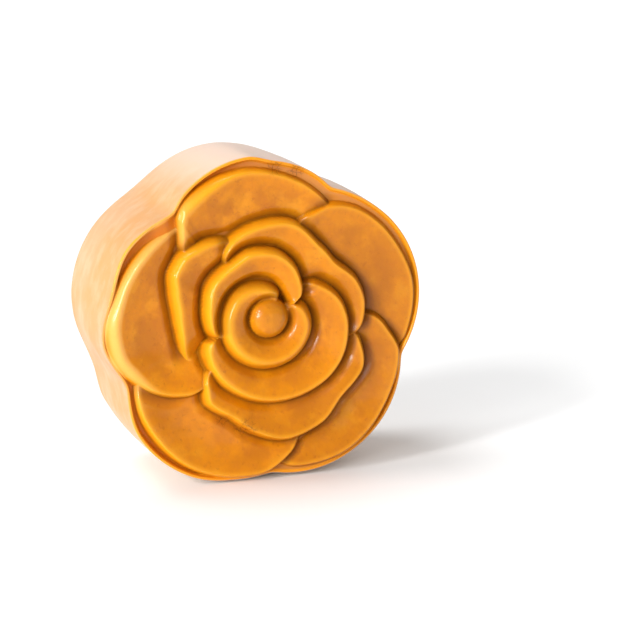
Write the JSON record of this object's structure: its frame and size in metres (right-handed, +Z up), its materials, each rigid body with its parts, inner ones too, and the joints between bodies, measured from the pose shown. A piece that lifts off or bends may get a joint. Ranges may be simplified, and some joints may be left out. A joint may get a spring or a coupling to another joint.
{
  "type": "mooncake",
  "caption": "Whole baked mooncake with a lobed flower outline, a moulded rose in relief on its face, a thin raised lip and a smooth side, standing on its edge.",
  "frame": {"origin": "on the surface that the cake stands on, under the middle of its bounding box", "axes": "+Z up, the rose faces -Y and the base faces +Y, +X to the right as the rose is looked at"},
  "size_m": [0.0772, 0.0388, 0.0752],
  "materials": {
    "crust": "baked dough under a thin egg glaze, satin"
  },
  "bodies": {
    "root": {"mooncake": "crust"}
  },
  "joints": []
}
